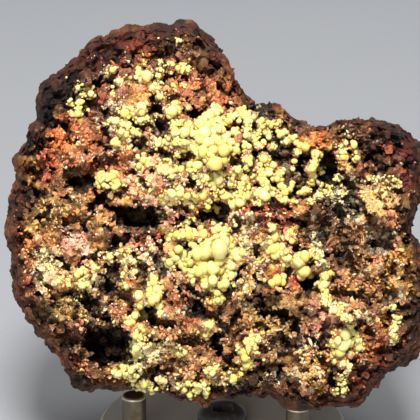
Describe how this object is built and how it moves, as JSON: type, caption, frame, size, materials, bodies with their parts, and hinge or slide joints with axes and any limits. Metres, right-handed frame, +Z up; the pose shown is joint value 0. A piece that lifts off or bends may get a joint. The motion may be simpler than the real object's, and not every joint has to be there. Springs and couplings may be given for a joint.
{
  "type": "mimetite specimen on a display stand",
  "caption": "Natural lump of brown and orange iron-oxide matrix crusted with round yellow mimetite crystals, resting on a small round peg stand.",
  "frame": {"origin": "centre of the stand plate's underside, on the surface that the stand rests on", "axes": "+Z up, the specimen's crystal-bearing face looks along -Y, +X to the right of a viewer who faces it"},
  "size_m": [0.0861, 0.0595, 0.0907],
  "materials": {
    "matrix": "matte",
    "mimetite": "satin",
    "acrylic": "satin",
    "black_screw": "satin",
    "nickel_steel": "satin"
  },
  "bodies": {
    "root": {"matrix_stone": "matrix", "mimetite_crown": "mimetite", "mimetite_left_arm": "mimetite", "mimetite_centre": "mimetite", "mimetite_right_hollow": "mimetite", "mimetite_left_band": "mimetite", "mimetite_lower_right": "mimetite", "mimetite_foot": "mimetite", "base_disc": "acrylic", "base_screw": "black_screw", "post_left": "nickel_steel", "post_right": "nickel_steel", "post_back": "nickel_steel"}
  },
  "joints": []
}
